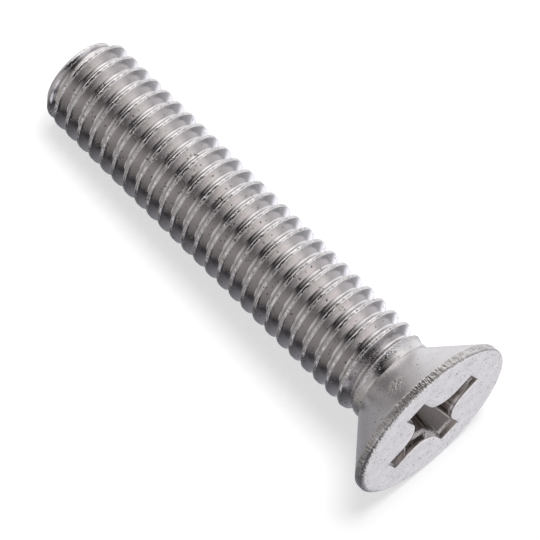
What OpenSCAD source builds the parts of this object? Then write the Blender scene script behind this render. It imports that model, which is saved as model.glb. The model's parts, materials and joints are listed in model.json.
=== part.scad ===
// Countersunk machine screw with a cross recess, lying on its side.
// It is modelled upright on its own axis, with the middle of the head's flat
// face at zero and the thread running down, and is then laid on the rim of its
// head and on the thread near its end, as it comes to rest on a table.

/* [Shank] */
// Length over all, from the face of the head to the flat end
length = 29.75; // [20:0.25:40]
// Diameter of the plain neck between the head and the thread
neck_d = 5.36; // [5.3:0.02:5.5]
// Length of the plain neck
neck_h = 0.4; // [0.3:0.05:0.6]
// Diameter of the flat end
end_d = 4.86; // [4.6:0.02:5]
// Length of the chamfer at the flat end
end_chamfer = 0.55; // [0.4:0.05:0.8]

/* [Thread] */
// Distance from one thread crest to the next
pitch = 1; // [0.8:0.05:1.25]
// Diameter over the thread crests
crest_d = 5.84; // [5.78:0.02:6]
// Diameter at the bottom of the thread groove
root_d = 4.78; // [4.7:0.02:5]
// Width of the flat on top of the thread
crest_flat = 0.12; // [0.08:0.01:0.16]
// Angle between the two flanks of the groove
flank_angle = 60; // [54:1:62]
// Distance from the flat end to a crest on the underside
first_crest = 1.44; // [1:0.02:2]
// Length over which the crest fades away below the neck
runout = 1; // [0.6:0.05:1.4]

/* [Head] */
// Diameter over the rim of the head
head_d = 10.64; // [10.4:0.02:11.4]
// Thickness of the rim, from the face of the head to the cone
rim_h = 0.49; // [0.4:0.01:0.7]
// Radius of the rounded edge between the face and the rim
edge_r = 0.2; // [0.1:0.01:0.3]
// Angle of the countersunk cone
cone_angle = 90; // [86:0.5:94]

/* [Cross recess] */
// Span over two opposite wings at the face
recess_span = 6.64; // [6.2:0.02:7]
// Width of a wing at the face
wing_w = 1.29; // [1.1:0.01:1.4]
// Slope of a wing's end wall, measured from the screw's axis
wing_end_angle = 26.5; // [24:0.5:28]
// Slope of a wing's side walls, measured from the screw's axis
wing_side_angle = 5.75; // [4:0.25:7]
// Radius of the rounded corner between two wings
corner_r = 1.6; // [1.3:0.05:1.8]
// Depth of the recess at the ends of its floor
recess_depth = 2.6; // [2.2:0.05:2.7]
// Angle of the shallow cone that forms the floor
floor_angle = 146; // [140:1:160]
// Turn of the cross about the screw's axis, from upright
recess_turn = 20.7; // [0:0.1:45]
// Depth of the steep-walled step round the mouth of the recess
step_depth = 0.32; // [0.26:0.02:0.4]
// Width of the narrow ledge under that step
step_w = 0.07; // [0.05:0.01:0.09]

/* [Hidden] */
$fn = 96;

// Flat sides on one turn of the thread
turn_steps = 32;
// Extra length by which cutting shapes pass the surface that they cut
past = 1;
// Depth by which the faded thread ends below the surface of the neck, and by
// which the lower part of the recess reaches up into the step round its mouth
sink = 0.05;

neck_r = neck_d / 2;
crest_r = crest_d / 2;
root_r = root_d / 2;
end_r = end_d / 2;
head_r = head_d / 2;
face_r = head_r - edge_r;

// Thread profile over one pitch: groove floor, rising flank, crest, falling flank
thread_depth = crest_r - root_r;
flank_run = thread_depth * tan(flank_angle / 2);
root_flat = pitch - crest_flat - 2 * flank_run;

// Heights of the neck below the cone of the head, and of the shoulder under it,
// which falls away inside the thread
neck_z = -rim_h - (head_r - neck_r) / tan(cone_angle / 2);
neck_low_z = neck_z - neck_h;
core_r = root_r - sink;
core_z = neck_low_z - (neck_r - core_r);

// Reach of the recess's wings at the ledge under the step and at the floor's ends
ledge_r = recess_span / 2 - step_w;
floor_r = ledge_r - (recess_depth - step_depth) * tan(wing_end_angle);

// Radius that the chamfer leaves at a distance from the flat end
function trimmed_r(from_end) =
    min(crest_r, end_r + from_end * (crest_r - end_r) / end_chamfer);

// Angle of the axis to the table if the rim and a crest edge at that distance touch it
function angle_on(from_end) =
    atan((head_r - trimmed_r(from_end)) / (length - rim_h - from_end));

// The crest edge on the underside that touches the table first sets the angle
underside_edges = [for (crest = [-1:1:1], side = [-1, 1])
    let (from_end = first_crest + crest * pitch + side * crest_flat / 2)
    if (from_end > 0) from_end];
lie_angle = min([for (from_end = underside_edges) angle_on(from_end)]);

// Place of the box around the laid screw
high_x = face_r * sin(lie_angle) + edge_r * (1 - cos(lie_angle));
low_x = -length * cos(lie_angle) - end_r * sin(lie_angle);
middle_x = (low_x + high_x) / 2;
lift_z = head_r * cos(lie_angle) + rim_h * sin(lie_angle);

// Greatest radius that the thread may have at a height: the full crest along the
// shank, and less and less of it up to the neck, where it ends under the surface
function fade_r(z) =
    let (share = (neck_low_z - z) / runout, sunk_r = neck_r - sink)
    sunk_r + (crest_r - sunk_r) * min(1, max(0, share));

// Point of the thread after a number of steps round the axis, at a height
// above the groove's edge and at the radius that the full thread has there
function helix_point(step, rise, full_r) =
    let (angle = 360 * step / turn_steps,
         z = helix_start + pitch * step / turn_steps + rise,
         r = min(full_r, fade_r(z)))
    [r * cos(angle), r * sin(angle), z];

// The helix starts at the underside, a whole number of pitches past the end
helix_start = -length + first_crest - crest_flat / 2 - flank_run - root_flat
    - pitch * (ceil((first_crest + pitch) / pitch));
helix_turns = ceil((neck_z - helix_start) / pitch);
helix_steps = helix_turns * turn_steps;

module threaded_shank() {
    // Four rings of points wind up the shank: both edges of the groove floor
    // and both edges of the crest. The floor's lower edge runs one turn
    // further, where it closes the turn below.
    rises = [0, root_flat, root_flat + flank_run, root_flat + flank_run + crest_flat];
    radii = [root_r, root_r, crest_r, crest_r];
    count = helix_steps + 1;
    floor_count = count + turn_steps;
    points = concat(
        [for (k = [0:1:floor_count - 1]) helix_point(k, rises[0], radii[0])],
        [for (j = [1:1:3], k = [0:1:count - 1]) helix_point(k, rises[j], radii[j])],
        [[0, 0, helix_start], [0, 0, helix_start + pitch * (helix_turns + 1)]]);
    function at(j, k) = j == 0 ? k : floor_count + (j - 1) * count + k;
    function above(j, k) = j == 3 ? at(0, k + turn_steps) : at(j + 1, k);
    low_point = floor_count + 3 * count;
    top_point = low_point + 1;
    sides = [for (j = [0:1:3], k = [0:1:helix_steps - 1], half = [0, 1])
        half == 0
            ? [at(j, k), above(j, k), above(j, k + 1)]
            : [at(j, k), above(j, k + 1), at(j, k + 1)]];
    low_fan = [for (k = [0:1:turn_steps - 1]) [low_point, at(0, k), at(0, k + 1)]];
    low_step = [for (j = [0:1:3]) [low_point, above(j, 0), at(j, 0)]];
    top_fan = [for (k = [0:1:turn_steps - 1])
        [top_point, at(0, helix_steps + k + 1), at(0, helix_steps + k)]];
    top_step = [for (j = [0:1:3]) [top_point, at(j, helix_steps), above(j, helix_steps)]];
    intersection() {
        polyhedron(points, concat(sides, low_fan, low_step, top_fan, top_step));
        shank_outline();
    }
}

// Turned outline that trims the thread: the flat end with its chamfer, and a
// plain cylinder outside the crests for the rest
module shank_outline() {
    clear_r = crest_r + past;
    chamfer_slope = (crest_r - end_r) / end_chamfer;
    rotate_extrude()
        polygon([
            [0, -length],
            [end_r, -length],
            [clear_r, -length + (clear_r - end_r) / chamfer_slope],
            [clear_r, 0],
            [0, 0]
        ]);
}

// Head and neck turned to their outline: flat face, rounded edge, rim, cone,
// neck and shoulder
module head() {
    rotate_extrude()
        union() {
            polygon([
                [0, 0],
                [face_r, 0],
                [face_r, -edge_r],
                [head_r, -edge_r],
                [head_r, -rim_h],
                [neck_r, neck_z],
                [neck_r, neck_low_z],
                [core_r, core_z],
                [0, core_z]
            ]);
            intersection() {
                translate([face_r, -edge_r])
                    circle(edge_r);
                translate([face_r, -edge_r])
                    square(edge_r + past);
            }
        }
}

// Metal left between two wings, in plan: a corner with straight sides and a
// rounded edge
module corner_outline() {
    side = recess_span;
    translate([corner_r, corner_r])
        circle(corner_r);
    translate([corner_r, 0])
        square(side);
    translate([0, corner_r])
        square(side);
}

// Step round the mouth: the cross at its full size, with walls along the axis
module mouth_step() {
    translate([0, 0, -step_depth])
        linear_extrude(step_depth + past)
            difference() {
                square(recess_span, center = true);
                for (quarter = [0:1:3])
                    rotate(90 * quarter)
                        translate([wing_w / 2, wing_w / 2])
                            corner_outline();
            }
}

// Straight-sided wedge between two opposite end walls under the step
module wing_wedge() {
    slope = tan(wing_end_angle);
    high_r = ledge_r + sink * slope;
    low_r = floor_r - past * slope;
    high_z = sink - step_depth;
    low_z = -recess_depth - past;
    rotate([90, 0, 0])
        linear_extrude(recess_span, center = true)
            polygon([[-high_r, high_z], [-low_r, low_z], [low_r, low_z], [high_r, high_z]]);
}

// Metal left between two wings under the step: it leans towards the axis, so
// that the wings get narrower with depth
module lobe() {
    lean = atan(sqrt(2) * tan(wing_side_angle));
    tall = recess_depth + 3 * past;
    rotate([0, 0, 45])
        translate([(wing_w - 2 * step_w) / sqrt(2), 0, -step_depth])
            rotate([0, lean, 0])
                translate([0, 0, past - tall])
                    rotate([0, 0, -45])
                        linear_extrude(tall)
                            corner_outline();
}

// The step round the mouth, and under it four wings that get shorter and
// narrower with depth, over a shallow cone
module cross_recess() {
    floor_drop = floor_r / tan(floor_angle / 2);
    mouth_step();
    difference() {
        intersection() {
            wing_wedge();
            rotate([0, 0, 90])
                wing_wedge();
            rotate_extrude()
                polygon([
                    [0, past],
                    [recess_span, past],
                    [recess_span, -recess_depth + (recess_span - floor_r) / tan(floor_angle / 2)],
                    [floor_r, -recess_depth],
                    [0, -recess_depth - floor_drop]
                ]);
        }
        for (quarter = [0:1:3])
            rotate([0, 0, 90 * quarter])
                lobe();
    }
}

module screw() {
    color([0.71, 0.7, 0.69])
        translate([-middle_x, 0, lift_z])
            rotate([0, 90 - lie_angle, 0])
                difference() {
                    union() {
                        head();
                        threaded_shank();
                    }
                    rotate([0, 0, recess_turn])
                        cross_recess();
                }
}

screw();
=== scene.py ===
"""Stainless countersunk machine screw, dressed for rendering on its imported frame.

The screw is described upright on its own axis, in millimetres: height 0 is the flat
face of the head and the flat end lies below it. Angles turn about the axis, counted
from the underside on which the screw lies. One closed mesh, made of a helical grid for
the thread and of rings for the rest, stands for the frame's solid.
"""

import json
import logging
import math
from dataclasses import dataclass
from enum import Enum

import bpy
import numpy as np
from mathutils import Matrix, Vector


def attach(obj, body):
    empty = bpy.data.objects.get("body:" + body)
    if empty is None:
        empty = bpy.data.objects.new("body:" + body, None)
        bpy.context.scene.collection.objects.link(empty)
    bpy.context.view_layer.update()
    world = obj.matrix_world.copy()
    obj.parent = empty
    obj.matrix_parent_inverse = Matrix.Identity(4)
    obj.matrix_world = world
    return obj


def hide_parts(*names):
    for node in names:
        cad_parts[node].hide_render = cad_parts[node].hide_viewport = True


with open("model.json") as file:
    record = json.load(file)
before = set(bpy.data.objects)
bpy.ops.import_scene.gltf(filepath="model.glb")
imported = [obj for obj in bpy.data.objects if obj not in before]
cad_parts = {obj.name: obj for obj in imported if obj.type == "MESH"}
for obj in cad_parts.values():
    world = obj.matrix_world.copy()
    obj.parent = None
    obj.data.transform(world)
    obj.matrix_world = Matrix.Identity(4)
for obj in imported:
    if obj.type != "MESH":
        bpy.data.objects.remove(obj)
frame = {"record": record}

MM = 0.001
TURN = 2 * math.pi
LOG = logging.getLogger("scene")


class Zone(Enum):
    """Parts of the surface that carry a finish of their own, in slot order."""

    THREAD = 0
    CONE = 1
    RIM = 2
    FACE = 3
    RECESS = 4


@dataclass(frozen=True)
class ThreadSize:
    """Sizes of the rolled thread, in millimetres and degrees.

    The seam is the thin line that rolling leaves where the metal of both flanks
    meets on the crest.
    """

    pitch: float = 1.0
    crest_r: float = 2.92
    root_r: float = 2.35
    crest_flat: float = 0.19
    flank_angle: float = 60.0
    first_crest: float = 1.5
    runout: float = 1.0
    crest_blend: float = 0.01
    root_blend: float = 0.015
    seam_place: float = 0.045
    seam_depth: float = 0.065
    seam_width: float = 0.022


@dataclass(frozen=True)
class ShankSize:
    """Sizes of the plain parts of the shank, in millimetres."""

    length: float = 29.75
    neck_r: float = 2.68
    neck_h: float = 0.4
    end_r: float = 2.43
    end_chamfer: float = 0.55


@dataclass(frozen=True)
class HeadSize:
    """Sizes of the countersunk head, in millimetres and degrees.

    The rim and the face stand a little off the axis, by their shifts along one level
    direction, which is counted like all angles from the underside.
    """

    rim_r: float = 5.32
    rim_h: float = 0.49
    edge_r: float = 0.2
    lower_edge_r: float = 0.07
    neck_fillet: float = 0.1
    cone_angle: float = 90.0
    rim_shift: float = -0.05
    face_shift: float = 0.07
    shift_angle: float = 110.74


@dataclass(frozen=True)
class RecessSize:
    """Sizes of the cross recess under its step, in millimetres and degrees."""

    span: float = 6.64
    wing_w: float = 1.29
    end_angle: float = 26.5
    side_angle: float = 5.75
    corner_r: float = 1.6
    depth: float = 2.6
    floor_angle: float = 146.0
    turn: float = 20.7
    lip_r: float = 0.05


@dataclass(frozen=True)
class StepKnot:
    """One place on the step round the recess's mouth.

    The place counts quarters from the middle of the wing on the underside. The step
    is a wall with a ledge under it, or with a slant of one a bevel without a ledge.
    """

    place: float
    depth: float
    width: float
    slant: float = 0.0


# The step is a wall with a ledge round most of the mouth and a bevel at two opposite
# wings. It is deepest at the middle of the last lobe and almost gone in the first.
MOUTH_STEP = (
    StepKnot(0.0, 0.34, 0.07),
    StepKnot(0.12, 0.32, 0.07),
    StepKnot(0.18, 0.08, 0.01),
    StepKnot(0.7, 0.08, 0.01),
    StepKnot(0.73, 0.28, 0.06),
    StepKnot(0.83, 0.26, 0.06),
    StepKnot(0.88, 0.14, 0.12, 1.0),
    StepKnot(1.12, 0.14, 0.12, 1.0),
    StepKnot(1.2, 0.28, 0.07),
    StepKnot(2.8, 0.28, 0.07),
    StepKnot(2.88, 0.14, 0.14, 1.0),
    StepKnot(3.12, 0.14, 0.14, 1.0),
    StepKnot(3.17, 0.08, 0.01),
    StepKnot(3.32, 0.1, 0.02),
    StepKnot(3.36, 0.5, 0.03, 0.1),
    StepKnot(3.5, 0.5, 0.04, 0.1),
    StepKnot(3.54, 0.42, 0.16, 1.0),
    StepKnot(3.68, 0.22, 0.14, 1.0),
    StepKnot(3.8, 0.1, 0.05, 1.0),
    StepKnot(3.87, 0.32, 0.07),
    StepKnot(4.0, 0.34, 0.07),
)


@dataclass(frozen=True)
class MeshDetail:
    """Columns of points on one turn, and rows of points on the parts of the surface."""

    columns: int = 176
    cone_rows: int = 9
    rim_rows: int = 4
    face_rows: int = 8
    wall_rows: int = 16
    floor_rows: int = 6


def smooth_max(a: np.ndarray, b: np.ndarray, blend: float) -> np.ndarray:
    """Larger of two arrays, rounded where they meet.

    Args:
        a: First values.
        b: Second values.
        blend: Width of the rounding, in the values' unit.

    Returns:
        The mean of both plus half of their distance, softened by the blend.
    """
    return 0.5 * (a + b + np.sqrt((a - b) ** 2 + blend**2))


def smooth_min(a: np.ndarray, b: np.ndarray, blend: float) -> np.ndarray:
    """Smaller of two arrays, rounded where they meet, as smooth_max does."""
    return -smooth_max(-a, -b, blend)


def dents(place: np.ndarray, spots: np.ndarray, widths: np.ndarray, depths: np.ndarray) -> np.ndarray:
    """Sum of bell-shaped dents along a line.

    Args:
        place: Positions along the line, any shape.
        spots: Middle of each dent.
        widths: Half width of each dent.
        depths: Depth of each dent.

    Returns:
        For each position the sum of depth times exp(-(distance / width) squared).
    """
    away = (place[..., None] - spots) / widths
    return (depths * np.exp(-(away**2))).sum(axis=-1)


def direction(azimuth: float, elevation: float) -> Vector:
    """Direction of length one, from two angles in degrees.

    Args:
        azimuth: Angle about the frame's upright axis.
        elevation: Angle above the level.

    Returns:
        The cosine of the elevation times the cosine and the sine of the azimuth, and
        the sine of the elevation.
    """
    around = math.radians(azimuth)
    up = math.radians(elevation)
    return Vector((math.cos(up) * math.cos(around), math.cos(up) * math.sin(around), math.sin(up)))


def ring_angles(columns: int) -> np.ndarray:
    """Angles of a ring's points, spread evenly round the axis."""
    return TURN * np.arange(columns) / columns


def turned(radius: np.ndarray, height: np.ndarray, angle: np.ndarray) -> np.ndarray:
    """Points round the axis: radius times cosine, radius times sine, and the height.

    Args:
        radius: Distances from the axis.
        height: Heights along it.
        angle: Angles about it; all three are spread to one shape.

    Returns:
        Positions with the three coordinates last.
    """
    parts = np.broadcast_arrays(radius * np.cos(angle), radius * np.sin(angle), height)
    return np.stack(parts, axis=-1)


class RingMesh:
    """Collects rings and strips of points and joins them to one closed mesh."""

    def __init__(self) -> None:
        """Starts with no points and no faces."""
        self.points: list[np.ndarray] = []
        self.marks: list[np.ndarray] = []
        self.faces: list[np.ndarray] = []
        self.zones: list[np.ndarray] = []
        self.count = 0

    def add_points(self, points: np.ndarray, marks: np.ndarray) -> np.ndarray:
        """Stores points and returns their numbers.

        Args:
            points: Array of positions in millimetres, with the coordinates last.
            marks: One vector for each point, for the materials: wear on the thread and
            the painted highlight lines in the recess, nearness to the crest with its
            side as the sign, and scuffing.

        Returns:
            Point numbers in the shape of the array without its last axis.
        """
        flat = points.reshape(-1, 3)
        ids = np.arange(self.count, self.count + len(flat)).reshape(points.shape[:-1])
        self.points.append(flat)
        self.marks.append(np.broadcast_to(marks, points.shape).reshape(-1, 3))
        self.count += len(flat)
        return ids

    def add_corners(self, a: np.ndarray, b: np.ndarray, c: np.ndarray, d: np.ndarray, zone: Zone) -> None:
        """Adds quads as pairs of triangles, without the empty ones.

        Args:
            a: Numbers of the quads' first corners, any shape.
            b: Numbers of their second corners.
            c: Numbers of their third corners.
            d: Numbers of their last corners.
            zone: Zone that the triangles belong to.
        """
        first = np.stack([a, b, c], axis=-1).reshape(-1, 3)
        second = np.stack([a, c, d], axis=-1).reshape(-1, 3)
        both = np.concatenate([first, second])
        distinct = (both[:, 0] != both[:, 1]) & (both[:, 1] != both[:, 2]) & (both[:, 2] != both[:, 0])
        self.faces.append(both[distinct])
        self.zones.append(np.full(int(distinct.sum()), zone.value, dtype=np.int32))

    def add_rings(self, ids: np.ndarray, zone: Zone) -> None:
        """Joins each ring to the next one; the rings run towards the axis' end."""
        after = np.roll(ids, -1, axis=1)
        self.add_corners(ids[:-1], after[:-1], after[1:], ids[1:], zone)

    def to_object(self, name: str, place: "Placement", materials: list) -> bpy.types.Object:
        """Makes the Blender object from everything collected.

        Args:
            name: Name of the object.
            place: Placement that lays the points on the table.
            materials: One material for each zone, in slot order.

        Returns:
            The object, linked to the scene, with smooth faces.
        """
        points = place.to_frame(np.concatenate(self.points))
        faces = np.concatenate(self.faces)
        mesh = bpy.data.meshes.new(name)
        mesh.vertices.add(len(points))
        mesh.vertices.foreach_set("co", points.astype(np.float32).ravel())
        mesh.loops.add(faces.size)
        mesh.loops.foreach_set("vertex_index", faces.astype(np.int32).ravel())
        mesh.polygons.add(len(faces))
        mesh.polygons.foreach_set("loop_start", np.arange(0, faces.size, 3, dtype=np.int32))
        mesh.polygons.foreach_set("material_index", np.concatenate(self.zones))
        for material in materials:
            mesh.materials.append(material)
        upright = np.concatenate(self.points)
        for label, values in (("upright", upright), ("marks", np.concatenate(self.marks))):
            attribute = mesh.attributes.new(label, "FLOAT_VECTOR", "POINT")
            attribute.data.foreach_set("vector", values.astype(np.float32).ravel())
        mesh.update(calc_edges=True)
        mesh.validate()
        mesh.polygons.foreach_set("use_smooth", np.ones(len(mesh.polygons), dtype=bool))
        made = bpy.data.objects.new(name, mesh)
        bpy.context.scene.collection.objects.link(made)
        return made


class Placement:
    """Lays the upright screw where the frame's record says its head face is."""

    def __init__(self, record: dict) -> None:
        """Reads the middle and the outward direction of the head's face.

        Args:
            record: The frame's record with its mounts.
        """
        mount = next(m for m in record["mounts"] if m["name"] == "head_face")
        self.origin = np.array(mount["pos_m"])
        out = np.array(mount["axis"])
        out = out / np.linalg.norm(out)
        side = np.array([0.0, 1.0, 0.0])
        self.axes = np.stack([np.cross(side, out), side, out])

    def to_frame(self, points: np.ndarray) -> np.ndarray:
        """Turns upright points in millimetres into frame points in metres."""
        return self.origin + points @ self.axes * MM


class Thread:
    """Rolled thread with its run-out and its chamfered start.

    The steps are distances between the rows of points at the edges of the crest and
    at the two corners of the root. The reaches are distances from the crest's middle
    over which nicks fade out and over which a point counts as near the crest. Nicks
    and bruises have a number and a least and greatest half width and depth, and one
    as deep as the full wear is fully worn. The seam's depth swings about its mean in
    waves along each turn, which finer waves push to and fro. The faded thread sinks
    below the neck's surface, the blend rounds both meetings, and the neck is plain
    above its lap.
    """

    SEED = 41
    EDGE_STEP = 0.018
    UPPER_FILLET = 0.024
    LOWER_FILLET = 0.01
    SPARE_CRESTS = 2
    NICK_REACH = 0.09
    NEAR_REACH = 0.3
    FULL_WEAR = 0.04
    SINK = 0.05
    END_BLEND = 0.02
    NECK_LAP = 0.1
    END_SCUFF = 0.4
    NICKS = 420
    NICK_WIDTHS = (0.05, 0.16)
    NICK_DEPTHS = (0.005, 0.04)
    BRUISES = 60
    BRUISE_WIDTHS = (0.3, 1.1)
    BRUISE_DEPTHS = (0.004, 0.02)
    SEAM_MEAN = 0.55
    SEAM_SWING = 0.45
    SEAM_WAVES = 9.1
    PUSH = 2.0
    PUSH_WAVES = 23.3

    def __init__(self, thread: ThreadSize, shank: ShankSize, neck_z: float, detail: MeshDetail) -> None:
        """Keeps the sizes and works out the heights that the thread runs between.

        Args:
            thread: Sizes of the thread.
            shank: Sizes of the plain parts of the shank.
            neck_z: Height at which the neck meets the cone of the head.
            detail: How finely the surface is divided.
        """
        self.thread = thread
        self.shank = shank
        self.neck_z = neck_z
        self.low_z = -shank.length
        self.columns = detail.columns
        self.random = np.random.default_rng(self.SEED)
        self.flank_slope = math.tan(math.radians(thread.flank_angle / 2))

    def stations(self) -> np.ndarray:
        """Distances from the crest's middle at which one pitch is sampled.

        Returns:
            Rising distances over one pitch: close together on the crest with its
            seam and at both edges of the root, wide on the flanks.
        """
        size = self.thread
        edge = size.crest_flat / 2
        seam = size.seam_place + np.array([-1.0, 0.0, 1.0]) * size.seam_width
        front = -edge + np.array([-1.5, -0.5, 0.5]) * self.EDGE_STEP
        back = edge + np.array([0.5, 1.5]) * self.EDGE_STEP
        flank_run = (size.crest_r - size.root_r) * self.flank_slope
        around = np.array([-2.0, -1.0, 0.0, 1.0, 2.0])
        low = edge + flank_run + around * self.UPPER_FILLET
        high = size.pitch - edge - flank_run + around * self.LOWER_FILLET
        return np.concatenate([front, seam, back, low, high])

    def profile_depth(self, off_crest: np.ndarray) -> np.ndarray:
        """Depth of the thread under its crest.

        Args:
            off_crest: Distances from the crest's middle, within one pitch.

        Returns:
            Nothing on the crest's flat, then a straight flank down to the flat root,
            with both corners softened.
        """
        size = self.thread
        away = np.minimum(np.abs(off_crest), size.pitch - np.abs(off_crest))
        slant = (away - size.crest_flat / 2) / self.flank_slope
        flank = smooth_max(slant, np.zeros_like(away), size.crest_blend)
        full = np.full_like(away, size.crest_r - size.root_r)
        return smooth_min(flank, full, size.root_blend)

    def crest_marks(self, travel: np.ndarray) -> np.ndarray:
        """Depth of the nicks and bruises along the crest.

        Args:
            travel: Turns travelled along the helix.

        Returns:
            Depth in millimetres: many small nicks, a few long shallow bruises.
        """
        nicks = self.random_dents(travel, self.NICKS, self.NICK_WIDTHS, self.NICK_DEPTHS)
        bruises = self.random_dents(travel, self.BRUISES, self.BRUISE_WIDTHS, self.BRUISE_DEPTHS)
        return nicks + bruises

    def random_dents(self, travel: np.ndarray, count: int, widths: tuple, depths: tuple) -> np.ndarray:
        """Depth of dents at random places along the crest.

        Args:
            travel: Turns travelled along the helix.
            count: Number of dents over the whole thread.
            widths: Least and greatest half width, in millimetres along the crest.
            depths: Least and greatest depth, in millimetres.

        Returns:
            Depth in millimetres.
        """
        crest_length = TURN * self.thread.crest_r
        spots = self.random.uniform(0, self.shank.length / self.thread.pitch, count)
        spans = self.random.uniform(*widths, count) / crest_length
        return dents(travel, spots, spans, self.random.uniform(*depths, count))

    def seam_open(self, travel: np.ndarray) -> np.ndarray:
        """How far the seam is open along the helix.

        Args:
            travel: Turns travelled along the helix.

        Returns:
            Share of the full depth: the mean plus the swing times the sine of the
            waves, whose place the finer waves push to and fro.
        """
        push = self.PUSH * np.sin(TURN * travel * self.PUSH_WAVES)
        return self.SEAM_MEAN + self.SEAM_SWING * np.sin(TURN * travel * self.SEAM_WAVES + push)

    def surface(self) -> tuple[np.ndarray, np.ndarray, int]:
        """Points of the helical grid.

        The rows follow the helix: each row keeps its distance from the crest while
        the angle turns, so the height is the row's own height plus the pitch times
        the share of a turn. Heights are held between the flat end and the neck.

        Returns:
            Points with rows and columns, their marks, and the rows in one pitch.
        """
        size = self.thread
        station = self.stations()
        per_pitch = len(station)
        lowest = self.low_z + size.first_crest
        first = -math.ceil(size.first_crest / size.pitch) - self.SPARE_CRESTS
        last = math.ceil((self.neck_z - lowest) / size.pitch) + self.SPARE_CRESTS
        crest_number = np.repeat(np.arange(first, last + 1), per_pitch)[:, None]
        off_crest = np.tile(station, last - first + 1)[:, None]
        share = (np.arange(self.columns) / self.columns)[None, :]
        travel = crest_number + share + np.zeros_like(off_crest)
        height = lowest + size.pitch * travel + off_crest
        depth = self.profile_depth(off_crest)
        wear = self.crest_marks(travel + 1) * np.exp(-((off_crest / self.NICK_REACH) ** 2))
        seam = np.exp(-(((off_crest - size.seam_place) / size.seam_width) ** 2))
        radius = size.crest_r - depth - wear - size.seam_depth * seam * self.seam_open(travel)
        radius = self.trim(radius, height)
        height = np.clip(height, self.low_z, self.neck_z)
        points = turned(radius, height, TURN * share)
        away = np.minimum(off_crest, size.pitch - off_crest)
        side = np.where(off_crest < size.pitch / 2, 1.0, -1.0)
        near = side * np.clip(1 - np.abs(away) / self.NEAR_REACH, 0, 1) + np.zeros_like(height)
        marks = np.stack([np.clip(wear / self.FULL_WEAR, 0, 1), near, self.scuffed(height)], axis=-1)
        return points, marks, per_pitch

    def scuffed(self, height: np.ndarray) -> np.ndarray:
        """Share of scuffing along the shank.

        Args:
            height: Height of each point.

        Returns:
            A slight share at the flat end that falls to nothing along its chamfer,
            and a full share one neck's length below the neck, which falls to nothing
            over that length on both sides.
        """
        shank = self.shank
        at_end = self.END_SCUFF - (height - self.low_z) / (2 * shank.end_chamfer)
        at_neck = 1 - np.abs(height - self.neck_z + 2 * shank.neck_h) / shank.neck_h
        return np.clip(np.maximum(at_end, at_neck), 0, 1)

    def trim(self, radius: np.ndarray, height: np.ndarray) -> np.ndarray:
        """Shapes the thread's ends.

        Args:
            radius: Radius of the endless thread.
            height: Height of each point.

        Returns:
            The radius cut by the chamfer at the flat end, faded out towards the neck,
            and never less than the neck and the shoulder under it.
        """
        size = self.thread
        shank = self.shank
        neck_low = self.neck_z - shank.neck_h
        share = np.clip((neck_low - height) / size.runout, 0, 1)
        fade = shank.neck_r - self.SINK + (size.crest_r + self.SINK - shank.neck_r) * share
        shoulder = np.minimum(shank.neck_r, shank.neck_r - (neck_low - height))
        shaped = smooth_max(smooth_min(radius, fade, self.END_BLEND), shoulder, self.END_BLEND)
        shaped = np.where(height >= neck_low + self.NECK_LAP, shank.neck_r, shaped)
        slope = (size.crest_r - shank.end_r) / shank.end_chamfer
        chamfer = shank.end_r + (height - self.low_z) * slope
        return np.minimum(shaped, np.maximum(chamfer, shank.end_r))

    def add_to(self, mesh: RingMesh) -> tuple[np.ndarray, np.ndarray]:
        """Adds the thread; rows past either end fall together onto the end's ring.

        Args:
            mesh: Mesh that takes the points.

        Returns:
            Point numbers of the rings at the lower and the upper end.
        """
        points, marks, per_pitch = self.surface()
        low = points[..., 2] <= self.low_z
        high = points[..., 2] >= self.neck_z
        angle = ring_angles(self.columns)
        low_ring = mesh.add_points(turned(self.shank.end_r, self.low_z, angle), np.zeros(3))
        high_ring = mesh.add_points(turned(self.shank.neck_r, self.neck_z, angle), np.zeros(3))
        inner = ~(low | high)
        ids = np.where(low, low_ring[None, :], high_ring[None, :])
        ids[inner] = mesh.add_points(points[inner], marks[inner])
        next_row = np.minimum(np.arange(len(ids)) + per_pitch, len(ids) - 1)
        after = np.concatenate([ids[:, 1:], ids[next_row, :1]], axis=1)
        mesh.add_corners(ids[:-1], after[:-1], after[1:], ids[1:], Zone.THREAD)
        return low_ring, high_ring


class FlatEnd:
    """Flat end of the shank, a disc that is very slightly hollow.

    Its rings stand at shares of the end's radius, the last one close to the edge.
    """

    HOLLOW = 0.02
    RING_SHARES = (0.25, 0.5, 0.75, 0.93)

    def __init__(self, shank: ShankSize) -> None:
        """Keeps the sizes."""
        self.shank = shank

    def add_to(self, mesh: RingMesh, outer: np.ndarray) -> None:
        """Closes the shank from the axis out to the ring at its lower end.

        The hollow is deepest on the axis and falls off with the radius squared.

        Args:
            mesh: Mesh that takes the points.
            outer: Point numbers of the ring at the lower end.
        """
        columns = len(outer)
        radius = self.shank.end_r * np.array(self.RING_SHARES)[:, None]
        level = -self.shank.length + self.HOLLOW * (1 - (radius / self.shank.end_r) ** 2)
        ids = mesh.add_points(turned(radius, level, ring_angles(columns)), np.zeros(3))
        middle = mesh.add_points(np.array([[0, 0, self.HOLLOW - self.shank.length]]), np.zeros(3))
        rings = np.concatenate([np.repeat(middle[None, :], columns, axis=1), ids, outer[None, :]])
        mesh.add_rings(rings, Zone.THREAD)


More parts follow.
